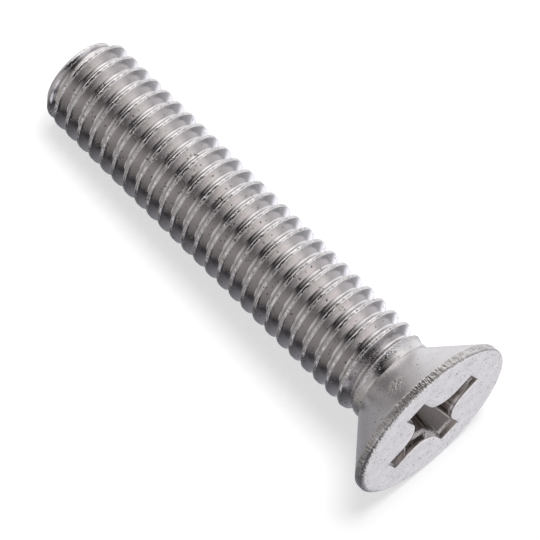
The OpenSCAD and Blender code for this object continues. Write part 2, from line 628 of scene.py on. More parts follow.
class Head:
    """Countersunk head: cone, rim and rounded edge, all turned."""

    FILLET_STEPS = 4
    EDGE_STEPS = 7

    def __init__(self, head: HeadSize, shank: ShankSize, detail: MeshDetail) -> None:
        """Keeps the sizes and works out where the cone meets the neck.

        Args:
            head: Sizes of the head.
            shank: Sizes of the plain parts of the shank.
            detail: How finely the surface is divided.
        """
        self.head = head
        self.shank = shank
        self.detail = detail
        slope = math.tan(math.radians(head.cone_angle / 2))
        self.neck_z = -head.rim_h - (head.rim_r - shank.neck_r) / slope

    @staticmethod
    def corner(
        before: np.ndarray, at: np.ndarray, after: np.ndarray, radius: float, steps: int
    ) -> np.ndarray:
        """Arc that rounds one corner of an outline.

        Args:
            before: Outline point before the corner.
            at: The corner.
            after: Outline point after it.
            radius: Radius of the rounding.
            steps: Number of points on the arc.

        Returns:
            Points on the circle that touches both sides, from the first side to
            the second.
        """
        back = (before - at) / np.linalg.norm(before - at)
        ahead = (after - at) / np.linalg.norm(after - at)
        half = math.acos(float(np.dot(back, ahead))) / 2
        centre = at + (back + ahead) / np.linalg.norm(back + ahead) * radius / math.sin(half)
        start = at + back * radius / math.tan(half) - centre
        stop = at + ahead * radius / math.tan(half) - centre
        sweep = math.pi - 2 * half
        share = np.linspace(0, 1, steps)[:, None]
        swung = np.sin((1 - share) * sweep) * start + np.sin(share * sweep) * stop
        return centre + swung / math.sin(sweep)

    def outline(self) -> tuple[np.ndarray, list[int]]:
        """Turned outline of the head as radius and height pairs.

        Returns:
            The outline from the neck to the face, and the numbers of its points at
            which the cone ends and the rim ends.
        """
        size = self.head
        neck = np.array([self.shank.neck_r, self.neck_z])
        below = neck - np.array([0, 1.0])
        low_rim = np.array([size.rim_r, -size.rim_h])
        high_rim = np.array([size.rim_r, 0.0])
        inside = np.array([0.0, 0.0])
        fillet = self.corner(below, neck, low_rim, size.neck_fillet, self.FILLET_STEPS)[1:]
        low_edge = self.corner(neck, low_rim, high_rim, size.lower_edge_r, self.FILLET_STEPS)
        high_edge = self.corner(low_rim, high_rim, inside, size.edge_r, self.EDGE_STEPS)
        cone = np.linspace(fillet[-1], low_edge[0], self.detail.cone_rows + 2)[1:-1]
        rim = np.linspace(low_edge[-1], high_edge[0], self.detail.rim_rows + 2)[1:-1]
        parts = [fillet, cone, low_edge, rim, high_edge]
        sizes = np.cumsum([len(part) for part in parts])
        return np.concatenate(parts), [int(sizes[1]) + 1, int(sizes[4])]

    def add_to(self, mesh: RingMesh, inner: np.ndarray) -> np.ndarray:
        """Adds the turned head above the neck's ring.

        The shift grows along the cone up to the rim's, and over the rounded edge to
        the face's.

        Args:
            mesh: Mesh that takes the points.
            inner: Ring at the upper end of the neck.

        Returns:
            The points' numbers of the face's outer circle.
        """
        outline, (cone_end, rim_end) = self.outline()
        radius = outline[:, :1]
        height = outline[:, 1:]
        size = self.head
        along_cone = np.clip((radius - self.shank.neck_r) / (size.rim_r - self.shank.neck_r), 0, 1)
        over_edge = np.clip((height + size.edge_r) / size.edge_r, 0, 1)
        shift = size.rim_shift * along_cone + (size.face_shift - size.rim_shift) * over_edge
        toward = math.radians(size.shift_angle)
        points = turned(radius, height, ring_angles(len(inner)))
        points[..., 0] += shift * math.cos(toward)
        points[..., 1] += shift * math.sin(toward)
        ids = mesh.add_points(points, np.zeros(3))
        mesh.add_rings(np.concatenate([inner[None, :], ids[:cone_end]]), Zone.CONE)
        mesh.add_rings(ids[cone_end - 1 : rim_end], Zone.RIM)
        return ids[-1]


class CrossRecess:
    """Cross recess: a steep step round the mouth, and four tapered wings under it.

    Each quarter of the outline has a number of steps on the wing's end and on its
    side, which crowd towards the corner between them. The ledge falls a little. A
    lighter line is painted along the ledge's edge where the step is deeper than the
    plain step and along the corners between the wings' ends and sides, and a fainter
    one over a bevel; these painted highlights lift the recess's painted shade.
    worn where the step is deeper than the plain step, and a bevel is worn less.
    """

    END_STEPS = 7
    SIDE_STEPS = 8
    CROWDING = 1.8
    LEDGE_FALL = 0.02
    LIP_STEPS = 4
    PLAIN_STEP = 0.1
    # Share of the painted highlight over a bevel.
    BEVEL_HIGHLIGHT = 0.7
    STEP_ROWS = 4
    SETTLE_ROUNDS = 12

    def __init__(self, recess: RecessSize, detail: MeshDetail) -> None:
        """Keeps the sizes and spreads the step's knots over the columns.

        Args:
            recess: Sizes of the recess.
            detail: How finely the surface is divided.
        """
        self.recess = recess
        self.detail = detail
        place = np.arange(detail.columns) * 4 / detail.columns
        at = [knot.place for knot in MOUTH_STEP]
        self.step = np.interp(place, at, [knot.depth for knot in MOUTH_STEP])
        self.step_width = np.interp(place, at, [knot.width for knot in MOUTH_STEP])
        self.slant = np.interp(place, at, [knot.slant for knot in MOUTH_STEP])

    def outline(self, depth: np.ndarray, grow: float = 0.0) -> np.ndarray:
        """Outline of the recess at each point's depth.

        Each quarter runs from the middle of one wing's end, along the wing's side,
        round the corner between two wings and out to the middle of the next end. The
        points lie close together where the wing's end and side meet.

        Args:
            depth: Depths with rows and columns; each column is one outline point.
            grow: Width by which the outline is moved out into the metal.

        Returns:
            Level positions of the points, with the two coordinates last.
        """
        size = self.recess
        quarter = self.detail.columns // 4
        over_ledge = np.clip((depth - self.step) / self.LEDGE_FALL, 0, 1)
        down_bevel = np.clip(depth / self.step, 0, 1)
        ledge = self.step_width * (over_ledge * (1 - self.slant) + down_bevel * self.slant)
        sunk = np.maximum(depth - self.step - self.LEDGE_FALL, 0)
        reach = size.span / 2 - ledge - sunk * math.tan(math.radians(size.end_angle)) + grow
        half_w = size.wing_w / 2 - ledge - sunk * math.tan(math.radians(size.side_angle)) + grow
        radius = size.corner_r - grow
        number = np.arange(self.detail.columns)
        place = number % quarter
        turn = (number // quarter) * (math.pi / 2)
        mirror = place > quarter // 2
        place = np.where(mirror, quarter - place, place)
        arc_steps = quarter // 2 - self.END_STEPS - self.SIDE_STEPS
        on_end = 1 - (1 - np.clip(place / self.END_STEPS, 0, 1)) ** self.CROWDING
        on_side = np.clip((place - self.END_STEPS) / self.SIDE_STEPS, 0, 1) ** self.CROWDING
        on_arc = np.clip((place - self.END_STEPS - self.SIDE_STEPS) / arc_steps, 0, 1) * (math.pi / 4)
        centre = half_w + radius
        side_x = reach + (np.minimum(centre, reach) - reach) * on_side
        x = np.where(on_arc > 0, centre - radius * np.sin(on_arc), side_x)
        y = np.where(on_arc > 0, centre - radius * np.cos(on_arc), half_w * on_end)
        x, y = np.where(mirror, y, x), np.where(mirror, x, y)
        turn = turn + math.radians(size.turn)
        return np.stack([x * np.cos(turn) - y * np.sin(turn), x * np.sin(turn) + y * np.cos(turn)], axis=-1)

    def corner_columns(self) -> np.ndarray:
        """Marks the columns at which a wing's end and side meet.

        Returns:
            One for these columns, zero elsewhere.
        """
        quarter = self.detail.columns // 4
        place = np.arange(self.detail.columns) % quarter
        return ((place == self.END_STEPS) | (place == quarter - self.END_STEPS)).astype(float)

    def floor_height(self, radius: np.ndarray) -> np.ndarray:
        """Height of the floor's shallow cone.

        Args:
            radius: Distances from the axis.

        Returns:
            Heights on a straight slope inwards and down from the floor's ends, which
            lie at the recess's depth.
        """
        size = self.recess
        sunk = size.depth - self.step[0] - self.LEDGE_FALL
        edge = size.span / 2 - self.step_width[0] - sunk * math.tan(math.radians(size.end_angle))
        return -size.depth - (edge - radius) / math.tan(math.radians(size.floor_angle / 2))

    def wall_depths(self) -> np.ndarray:
        """Depth at which each outline point's wall meets the floor.

        Returns:
            One depth for each column, found by putting the last depth's radius into
            the floor's cone again until it settles.
        """
        depth = np.full(self.detail.columns, self.recess.depth)
        for _ in range(self.SETTLE_ROUNDS):
            radius = np.linalg.norm(self.outline(depth), axis=-1)
            depth = -self.floor_height(radius)
        return depth

    def add_to(self, mesh: RingMesh, outer: np.ndarray, outer_points: np.ndarray) -> None:
        """Adds the face and the recess inside the face's outer circle.

        Args:
            mesh: Mesh that takes the points.
            outer: Numbers of the points on the face's outer circle.
            outer_points: Positions of these points.
        """
        size = self.recess
        lip = size.lip_r
        ones = np.ones((1, self.detail.columns))
        lip_angle = np.linspace(0, math.pi / 2, self.LIP_STEPS)
        inset = lip * (1 - np.sin(lip_angle))
        lip_level = np.stack([self.outline(0 * ones[0], grow) for grow in inset])
        lip_height = -lip * (1 - np.cos(lip_angle))[:, None] * ones
        share = np.linspace(0, 1, self.detail.face_rows + 2)[1:-1, None, None]
        face = outer_points[None, :, :2] * (1 - share) + lip_level[:1] * share
        face_points = np.concatenate([face, np.zeros((*face.shape[:2], 1))], axis=-1)
        face_ids = mesh.add_points(face_points, np.zeros(3))
        lip_points = np.concatenate([lip_level, lip_height[..., None]], axis=-1)
        lip_ids = mesh.add_points(lip_points, np.zeros(3))
        below = self.step + self.LEDGE_FALL
        step_depth = lip + (self.step - lip) * np.linspace(0, 1, self.STEP_ROWS)[1:, None]
        share = np.linspace(0, 1, self.detail.wall_rows)[:, None]
        depth = np.concatenate([step_depth, below + (self.wall_depths() - below) * share])
        level = self.outline(depth)
        wall_points = np.concatenate([level, -depth[..., None]], axis=-1)
        # Painted highlight lines: full along the wing corners below the ledge and along the ledge's edge,
        # fainter over the bevels; they lift the painted shade.
        lit_lines = self.corner_columns() * (depth >= below)
        lit_lines = lit_lines + np.isclose(depth, below) * (self.step > self.PLAIN_STEP)
        lit_lines = lit_lines + self.BEVEL_HIGHLIGHT * self.slant * (depth <= self.step)
        marks = np.stack([np.clip(lit_lines, 0, 1), 0 * depth, 0 * depth], axis=-1)
        wall_ids = mesh.add_points(wall_points, marks)
        share = np.linspace(1, 0, self.detail.floor_rows + 2)[1:-1, None, None]
        floor = level[-1:] * share
        floor_z = self.floor_height(np.linalg.norm(floor, axis=-1))
        floor_ids = mesh.add_points(np.concatenate([floor, floor_z[..., None]], axis=-1), np.zeros(3))
        lowest = float(self.floor_height(np.zeros(1))[0])
        middle = mesh.add_points(np.array([[0, 0, lowest]]), np.zeros(3))
        mesh.add_rings(np.concatenate([outer[None, :], face_ids, lip_ids[:1]]), Zone.FACE)
        tip = np.repeat(middle[None, :], len(outer), axis=1)
        mesh.add_rings(np.concatenate([lip_ids, wall_ids, floor_ids, tip]), Zone.RECESS)


@dataclass(frozen=True)
class SteelFinish:
    """One finish of the stainless steel.

    Scales count waves or cells in a millimetre. The spot is the middle of a ding in
    upright millimetres and its size the reach. The relief is the height in millimetres
    that the lines, pits and grain are shares of. A grain with a stretch of one is as
    long as it is wide.
    """

    name: str
    color: tuple[float, float, float] = (0.62, 0.6, 0.605)
    shade: tuple[float, float, float] = (0.3, 0.285, 0.28)
    roughness: float = 0.26
    roughness_spread: float = 0.12
    line_scale: float = 18.0
    line_height: float = 0.25
    pit_scale: float = 4.5
    pit_share: float = 0.0
    pit_depth: float = 0.6
    cloud_scale: float = 1.2
    cloud_share: float = 0.35
    grain_scale: float = 9.0
    grain_stretch: float = 1.0
    grain_height: float = 1.5
    grain_shade: float = 0.5
    scuffed: float = 0.0
    # Share of painted shade over the whole zone, left off where the first mark paints highlight lines.
    painted_shade: float = 0.0
    tick_share: float = 0.0
    spot: tuple[float, float, float] = (0.0, 0.0, 50.0)
    spot_size: float = 0.6
    relief: float = 0.02

    def build(self, groups: "SteelGroups") -> bpy.types.Material:
        """Makes the material from the shared groups.

        Args:
            groups: The shared node groups.

        Returns:
            A metal whose colour, roughness and relief vary over the surface.
        """
        material = bpy.data.materials.new(self.name)
        material.use_nodes = True
        tree = material.node_tree
        shader = tree.nodes["Principled BSDF"]
        shader.inputs["Metallic"].default_value = 1.0
        upright = self.attribute(tree, "upright")
        marks = self.attribute(tree, "marks")
        lines = self.place(tree, groups.lines, Scale=self.line_scale)
        pits = self.place(tree, groups.pits, Scale=self.pit_scale, Share=self.pit_share)
        clouds = self.place(tree, groups.clouds, Scale=self.cloud_scale)
        grain = self.place(tree, groups.grain, Scale=self.grain_scale, Stretch=self.grain_stretch)
        scuffs = self.place(
            tree,
            groups.scuffs,
            Everywhere=self.scuffed,
            Ticks=self.tick_share,
            Spot=self.spot,
            Size=self.spot_size,
        )
        for node in (lines, pits, clouds, grain, scuffs):
            tree.links.new(upright, node.inputs["Upright"])
        tree.links.new(marks, scuffs.inputs["Marks"])
        tone = self.place(
            tree,
            groups.tone,
            Light=(*self.color, 1.0),
            Dark=(*self.shade, 1.0),
            Clouds=self.cloud_share,
            Smooth=self.roughness,
            Spread=self.roughness_spread,
            Lines=self.line_height,
            Depth=self.pit_depth,
            Grain=self.grain_height,
            Mottled=self.grain_shade,
            Soiled=self.painted_shade,
        )
        tree.links.new(marks, tone.inputs["Marks"])
        for source, output in (
            (lines, "Line Mask"),
            (pits, "Pit Mask"),
            (clouds, "Cloud Mask"),
            (grain, "Grain Mask"),
            (scuffs, "Scuff Mask"),
        ):
            tree.links.new(source.outputs[output], tone.inputs[output])
        bump = tree.nodes.new("ShaderNodeBump")
        bump.inputs["Strength"].default_value = 1.0
        bump.inputs["Distance"].default_value = self.relief * MM
        tree.links.new(tone.outputs["Color"], shader.inputs["Base Color"])
        tree.links.new(tone.outputs["Roughness"], shader.inputs["Roughness"])
        tree.links.new(tone.outputs["Height"], bump.inputs["Height"])
        tree.links.new(bump.outputs["Normal"], shader.inputs["Normal"])
        return material

    @staticmethod
    def attribute(tree: bpy.types.NodeTree, label: str) -> bpy.types.NodeSocket:
        """Reads one of the mesh's own vectors.

        Args:
            tree: Tree that takes the node.
            label: Name of the mesh's attribute.

        Returns:
            The socket that gives the vector.
        """
        node = tree.nodes.new("ShaderNodeAttribute")
        node.attribute_name = label
        return node.outputs["Vector"]

    @staticmethod
    def place(tree: bpy.types.NodeTree, group: bpy.types.NodeTree, **values: object) -> bpy.types.Node:
        """Puts a group into a tree with its named inputs set.

        Args:
            tree: Tree that takes the node.
            group: Group to put there.
            values: Value for each input's name.

        Returns:
            The group's node.
        """
        node = tree.nodes.new("ShaderNodeGroup")
        node.node_tree = group
        for label, value in values.items():
            node.inputs[label].default_value = value
        return node


class SteelGroups:
    """Node groups that all the finishes share, built once.

    Each pair is a factor and an offset that stretch a noise or a mask to the range
    that is needed. A Mix node's colour sockets share their names with its other
    kinds, so their numbers are stated.
    """

    CROWD = (5.0, -1.5)
    LEAST_CROWD = 0.15
    PIT_SIZE = (0.35, 0.15)
    GRAIN = (2.4, -0.7)
    STREAKS = (10.0, -5.6)
    FLANK = (4.0, -1.8)
    SPOT_EDGE = (-2.0, 2.0)
    CLOUD_START = 0.35
    CLOUD_WEIGHT = 2.0
    PIT_ROUGHNESS = 0.25
    SCUFF_ROUGHNESS = 0.05
    LIGHT_SOCKET = 6
    DARK_SOCKET = 7
    COLOR_SOCKET = 2

    def __init__(self) -> None:
        """Builds the groups."""
        self.lines = self.build_lines()
        self.pits = self.build_pits()
        self.clouds = self.build_clouds()
        self.grain = self.build_grain()
        self.scuffs = self.build_scuffs()
        self.tone = self.build_tone()

    @staticmethod
    def start(name: str, inputs: dict[str, str], outputs: dict[str, str]) -> tuple:
        """Opens a new group with its sockets.

        Args:
            name: Name of the group.
            inputs: Socket kind for each input's name.
            outputs: Socket kind for each output's name.

        Returns:
            The group, its input node and its output node.
        """
        group = bpy.data.node_groups.new(name, "ShaderNodeTree")
        for label, kind in inputs.items():
            group.interface.new_socket(name=label, in_out="INPUT", socket_type="NodeSocket" + kind)
        for label, kind in outputs.items():
            group.interface.new_socket(name=label, in_out="OUTPUT", socket_type="NodeSocket" + kind)
        return group, group.nodes.new("NodeGroupInput"), group.nodes.new("NodeGroupOutput")

    @staticmethod
    def math_node(group: bpy.types.NodeTree, kind: str, *values: object) -> bpy.types.NodeSocket:
        """Adds a math node.

        Args:
            group: Group that takes the node.
            kind: Operation of the node.
            values: Its inputs, as sockets or numbers.

        Returns:
            The socket with the result.
        """
        node = group.nodes.new("ShaderNodeMath")
        node.operation = kind
        for entry, value in zip(node.inputs, values):
            if isinstance(value, bpy.types.NodeSocket):
                group.links.new(value, entry)
            else:
                entry.default_value = value
        return node.outputs[0]

    @staticmethod
    def split(group: bpy.types.NodeTree, vector: bpy.types.NodeSocket) -> bpy.types.NodeOutputs:
        """Takes a vector apart.

        Args:
            group: Group that takes the node.
            vector: Socket with the vector.

        Returns:
            The sockets of its three numbers.
        """
        parts = group.nodes.new("ShaderNodeSeparateXYZ")
        group.links.new(vector, parts.inputs[0])
        return parts.outputs

    def noise(
        self, group: bpy.types.NodeTree, parts: tuple, scale: object, detail: float
    ) -> bpy.types.NodeSocket:
        """Adds a noise over three numbers.

        Args:
            group: Group that takes the nodes.
            parts: The three numbers of the place, as sockets or values.
            scale: Scale of the noise, as a socket or value.
            detail: Number of finer layers.

        Returns:
            The noise's value.
        """
        joined = group.nodes.new("ShaderNodeCombineXYZ")
        noise = group.nodes.new("ShaderNodeTexNoise")
        noise.inputs["Detail"].default_value = detail
        group.links.new(joined.outputs[0], noise.inputs["Vector"])
        for entry, value in zip((*joined.inputs, noise.inputs["Scale"]), (*parts, scale)):
            if isinstance(value, bpy.types.NodeSocket):
                group.links.new(value, entry)
            else:
                entry.default_value = value
        return noise.outputs["Fac"]

    def build_lines(self) -> bpy.types.NodeTree:
        """Fine lines that run round the axis, as turning and rolling leave them.

        Returns:
            A group whose noise varies with the radius and the height, and hardly
            with the angle.
        """
        group, given, result = self.start(
            "SteelLines", {"Upright": "Vector", "Scale": "Float"}, {"Line Mask": "Float"}
        )
        x, y, z = self.split(group, given.outputs["Upright"])
        squares = self.math_node(group, "MULTIPLY_ADD", x, x, self.math_node(group, "MULTIPLY", y, y))
        radius = self.math_node(group, "SQRT", squares)
        drift = self.math_node(group, "MULTIPLY", x, 0.02)
        lines = self.noise(group, (radius, drift, z), given.outputs["Scale"], 3.0)
        group.links.new(lines, result.inputs["Line Mask"])
        return group

    def build_pits(self) -> bpy.types.NodeTree:
        """Small round pits, of which a noise keeps only the stated share.

        Returns:
            A group whose mask is one at a pit's middle and falls to nothing at the
            edge, with pits of mixed sizes that crowd at some places.
        """
        group, given, result = self.start(
            "SteelPits", {"Upright": "Vector", "Scale": "Float", "Share": "Float"}, {"Pit Mask": "Float"}
        )
        cells = group.nodes.new("ShaderNodeTexVoronoi")
        group.links.new(given.outputs["Upright"], cells.inputs["Vector"])
        group.links.new(given.outputs["Scale"], cells.inputs["Scale"])
        parts = group.nodes.new("ShaderNodeSeparateColor")
        group.links.new(cells.outputs["Color"], parts.inputs[0])
        crowd = self.noise(group, self.split(group, given.outputs["Upright"]), 0.8, 1.0)
        crowd = self.math_node(group, "MULTIPLY_ADD", crowd, *self.CROWD)
        crowd = self.math_node(group, "MAXIMUM", crowd, self.LEAST_CROWD)
        share = self.math_node(group, "MULTIPLY", given.outputs["Share"], crowd)
        kept = self.math_node(group, "LESS_THAN", parts.outputs[0], share)
        size = self.math_node(group, "MULTIPLY_ADD", parts.outputs[1], *self.PIT_SIZE)
        near = self.math_node(group, "DIVIDE", cells.outputs["Distance"], size)
        clipped = self.math_node(group, "MAXIMUM", self.math_node(group, "SUBTRACT", 1.0, near), 0.0)
        sharper = self.math_node(group, "MINIMUM", self.math_node(group, "MULTIPLY", clipped, 2.0), 1.0)
        group.links.new(self.math_node(group, "MULTIPLY", sharper, kept), result.inputs["Pit Mask"])
        return group

    def build_clouds(self) -> bpy.types.NodeTree:
        """Broad soft patches of shade.

        Returns:
            A group whose mask is a plain noise over the place.
        """
        group, given, result = self.start(
            "SteelClouds", {"Upright": "Vector", "Scale": "Float"}, {"Cloud Mask": "Float"}
        )
        parts = self.split(group, given.outputs["Upright"])
        clouds = self.noise(group, parts, given.outputs["Scale"], 5.0)
        group.links.new(clouds, result.inputs["Cloud Mask"])
        return group

    def build_grain(self) -> bpy.types.NodeTree:
        """Fine grain, which the stretch draws out along the axis to short streaks.

        Returns:
            A group whose mask is a sharpened noise, with the height divided by the
            stretch.
        """
        group, given, result = self.start(
            "SteelGrain",
            {"Upright": "Vector", "Scale": "Float", "Stretch": "Float"},
            {"Grain Mask": "Float"},
        )
        x, y, z = self.split(group, given.outputs["Upright"])
        drawn = self.math_node(group, "DIVIDE", z, given.outputs["Stretch"])
        grain = self.noise(group, (x, y, drawn), given.outputs["Scale"], 2.0)
        sharper = self.math_node(group, "MULTIPLY_ADD", grain, *self.GRAIN)
        group.links.new(sharper, result.inputs["Grain Mask"])
        return group

    def build_scuffs(self) -> bpy.types.NodeTree:
        """Places where the surface is rough: all over, along the crests and in one spot.

        Returns:
            A group whose mask is the greatest of the stated share, the first mark (wear
            on the thread, the painted highlight lines in the recess), the scuffing, the
            ticks beside the crests and the spot.
        """
        group, given, result = self.start(
            "SteelScuffs",
            {
                "Upright": "Vector",
                "Marks": "Vector",
                "Everywhere": "Float",
                "Ticks": "Float",
                "Spot": "Vector",
                "Size": "Float",
            },
            {"Scuff Mask": "Float"},
        )
        wear, near, scuffed = self.split(group, given.outputs["Marks"])
        x, y, z = self.split(group, given.outputs["Upright"])
        streaks = self.noise(group, (x, y, self.math_node(group, "MULTIPLY", z, 0.3)), 5.0, 1.0)
        open_streaks = self.math_node(group, "MULTIPLY_ADD", streaks, *self.STREAKS)
        flank = self.math_node(group, "MULTIPLY_ADD", near, *self.FLANK)
        ticks = self.math_node(group, "MULTIPLY", self.clip(group, open_streaks), self.clip(group, flank))
        ticks = self.math_node(group, "MULTIPLY", ticks, given.outputs["Ticks"])
        gap = group.nodes.new("ShaderNodeVectorMath")
        gap.operation = "DISTANCE"
        group.links.new(given.outputs["Upright"], gap.inputs[0])
        group.links.new(given.outputs["Spot"], gap.inputs[1])
        ratio = self.math_node(group, "DIVIDE", gap.outputs["Value"], given.outputs["Size"])
        spot = self.clip(group, self.math_node(group, "MULTIPLY_ADD", ratio, *self.SPOT_EDGE))
        total = given.outputs["Everywhere"]
        for mask in (wear, scuffed, ticks, spot):
            total = self.math_node(group, "MAXIMUM", total, mask)
        group.links.new(total, result.inputs["Scuff Mask"])
        return group

    def clip(self, group: bpy.types.NodeTree, value: bpy.types.NodeSocket) -> bpy.types.NodeSocket:
        """Holds a value between zero and one."""
        return self.math_node(group, "MINIMUM", self.math_node(group, "MAXIMUM", value, 0.0), 1.0)

    def build_tone(self) -> bpy.types.NodeTree:
        """Colour, roughness and relief from the masks.

        Returns:
            A group that darkens the colour by clouds, pits, mottling and a painted shade,
            which the first mark lifts along the recess's painted highlight lines, adds
            clouds, pits and scuffs to the roughness, and sums lines, pits and grain
            to the relief.
        """
        masks = ("Line Mask", "Pit Mask", "Cloud Mask", "Grain Mask", "Scuff Mask")
        amounts = ("Clouds", "Smooth", "Spread", "Lines", "Depth", "Grain", "Mottled", "Soiled")
        inputs = {label: "Float" for label in (*masks, *amounts)}
        group, given, result = self.start(
            "SteelTone",
            {**inputs, "Marks": "Vector", "Light": "Color", "Dark": "Color"},
            {"Color": "Color", "Roughness": "Float", "Height": "Float"},
        )
        lines, pits, clouds, grain, scuffs = (given.outputs[label] for label in masks)
        cloudy = self.math_node(group, "SUBTRACT", clouds, self.CLOUD_START)
        cloudy = self.math_node(group, "MULTIPLY", cloudy, given.outputs["Clouds"])
        mottled = self.math_node(group, "MULTIPLY", self.clip(group, grain), scuffs)
        mottled = self.math_node(group, "MULTIPLY", mottled, given.outputs["Mottled"])
        # The first mark is wear on the thread and the painted highlight lines in the recess.
        wear = self.split(group, given.outputs["Marks"])[0]
        unlit = self.math_node(group, "SUBTRACT", 1.0, wear)
        # Painted shade, left off along the painted highlight lines of the first mark.
        painted_dark = self.math_node(group, "MULTIPLY", unlit, given.outputs["Soiled"])
        dark = self.math_node(group, "MULTIPLY_ADD", cloudy, self.CLOUD_WEIGHT, pits)
        dark = self.math_node(group, "ADD", dark, mottled)
        dark = self.clip(group, self.math_node(group, "ADD", dark, painted_dark))
        mix = group.nodes.new("ShaderNodeMix")
        mix.data_type = "RGBA"
        group.links.new(dark, mix.inputs["Factor"])
        group.links.new(given.outputs["Light"], mix.inputs[self.LIGHT_SOCKET])
        group.links.new(given.outputs["Dark"], mix.inputs[self.DARK_SOCKET])
        rough = self.math_node(group, "SUBTRACT", clouds, 0.5)
        spread = self.math_node(group, "MULTIPLY", rough, given.outputs["Spread"])
        rough = self.math_node(group, "ADD", spread, given.outputs["Smooth"])
        rough = self.math_node(group, "MULTIPLY_ADD", pits, self.PIT_ROUGHNESS, rough)
        rough = self.math_node(group, "MULTIPLY_ADD", scuffs, self.SCUFF_ROUGHNESS, rough)
        relief = self.math_node(group, "MULTIPLY", lines, given.outputs["Lines"])
        sunk = self.math_node(group, "MULTIPLY", pits, given.outputs["Depth"])
        relief = self.math_node(group, "SUBTRACT", relief, sunk)
        centred = self.math_node(group, "SUBTRACT", grain, 0.5)
        bumps = self.math_node(group, "MULTIPLY", centred, given.outputs["Grain"])
        relief = self.math_node(group, "MULTIPLY_ADD", bumps, scuffs, relief)
        group.links.new(mix.outputs[self.COLOR_SOCKET], result.inputs["Color"])
        group.links.new(rough, result.inputs["Roughness"])
        group.links.new(relief, result.inputs["Height"])
        return group


@dataclass(frozen=True)
class Screw:
    """The whole screw."""

    thread: ThreadSize = ThreadSize()
    shank: ShankSize = ShankSize()
    head: HeadSize = HeadSize()
    recess: RecessSize = RecessSize()
    detail: MeshDetail = MeshDetail()

    def finishes(self) -> list[SteelFinish]:
        """Finish of each zone, in slot order."""
        return [
            SteelFinish(
                "steel_thread",
                roughness=0.12,
                roughness_spread=0.06,
                cloud_share=0.1,
                pit_scale=5.0,
                pit_share=0.12,
                tick_share=0.8,
            ),
            SteelFinish(
                "steel_cone",
                roughness=0.25,
                cloud_share=0.2,
                pit_scale=5.0,
                pit_share=0.12,
                grain_scale=7.0,
                grain_height=3.5,
                grain_shade=1.3,
                spot=(-3.96, -1.11, -1.7),
                spot_size=0.75,
            ),
            SteelFinish(
                "steel_rim",
                roughness=0.16,
                line_height=0.1,
                grain_scale=8.0,
                grain_stretch=2.5,
                grain_height=1.6,
                grain_shade=0.8,
                scuffed=1.0,
            ),
            SteelFinish(
                "steel_face",
                roughness=0.38,
                line_height=0.1,
                pit_scale=7.0,
                pit_share=0.4,
                scuffed=0.15,
            ),
            SteelFinish(
                "steel_recess",
                shade=(0.42, 0.39, 0.37),
                roughness=0.2,
                roughness_spread=0.2,
                cloud_share=0.2,
                # The recess is darkened all over by painted shade, in its dark shade colour.
                painted_shade=0.8,
            ),
        ]

    def build(self, place: Placement) -> bpy.types.Object:
        """Builds the mesh and dresses it.

        Args:
            place: Placement that lays the screw on the table.

        Returns:
            The finished object.
        """
        mesh = RingMesh()
        head = Head(self.head, self.shank, self.detail)
        low_ring, high_ring = Thread(self.thread, self.shank, head.neck_z, self.detail).add_to(mesh)
        FlatEnd(self.shank).add_to(mesh, low_ring)
        face_ring = head.add_to(mesh, high_ring)
        ring_points = np.concatenate(mesh.points)[face_ring]
        CrossRecess(self.recess, self.detail).add_to(mesh, face_ring, ring_points)
        groups = SteelGroups()
        return mesh.to_object("screw_steel", place, [finish.build(groups) for finish in self.finishes()])


@dataclass(frozen=True)
class View:
    """Camera of the photograph, in degrees and millimetres of the frame.

    The nearest and farthest seen distances are in metres.
    """

    azimuth: float = -42.12
    elevation: float = 68.31
    distance: float = 214.58
    target: tuple[float, float, float] = (1.535, -0.126, 3.513)
    lens: float = 254.84
    sensor: float = 36.0
    nearest: float = 0.01
    farthest: float = 10.0

    def build(self) -> bpy.types.Object:
        """Makes the camera, looking from its distance at the target.

        Returns:
            The camera, linked and set as the scene's own.
        """
        away = direction(self.azimuth, self.elevation)
        data = bpy.data.cameras.new("camera")
        data.lens = self.lens
        data.sensor_width = self.sensor
        data.clip_start = self.nearest
        data.clip_end = self.farthest
        camera = bpy.data.objects.new("camera", data)
        camera.location = (Vector(self.target) + away * self.distance) * MM
        camera.rotation_euler = away.to_track_quat("Z", "Y").to_euler()
        bpy.context.scene.collection.objects.link(camera)
        bpy.context.scene.camera = camera
        return camera


@dataclass(frozen=True)
class SoftCard:
    """A soft card of light in the room, which only the metal's reflections see.

    Its place and its spread are angles in degrees; the spread runs from its middle
    to where its light ends.
    """

    name: str
    azimuth: float
    elevation: float
    spread: float
    strength: float
    tint: tuple[float, float, float] = (1.0, 1.0, 1.0)

    def add_to(
        self, tree: bpy.types.NodeTree, group: bpy.types.NodeTree, heading: bpy.types.NodeSocket
    ) -> bpy.types.NodeSocket:
        """Adds the card to the room's tree.

        Args:
            tree: The room's node tree.
            group: Group that makes one card's light.
            heading: Direction in which the room is looked at.

        Returns:
            The card's light.
        """
        node = tree.nodes.new("ShaderNodeGroup")
        node.node_tree = group
        node.inputs["Toward"].default_value = direction(self.azimuth, self.elevation)
        node.inputs["Edge"].default_value = math.cos(math.radians(self.spread))
        node.inputs["Light"].default_value = (*(self.strength * part for part in self.tint), 1.0)
        tree.links.new(heading, node.inputs["Heading"])
        return node.outputs["Light"]


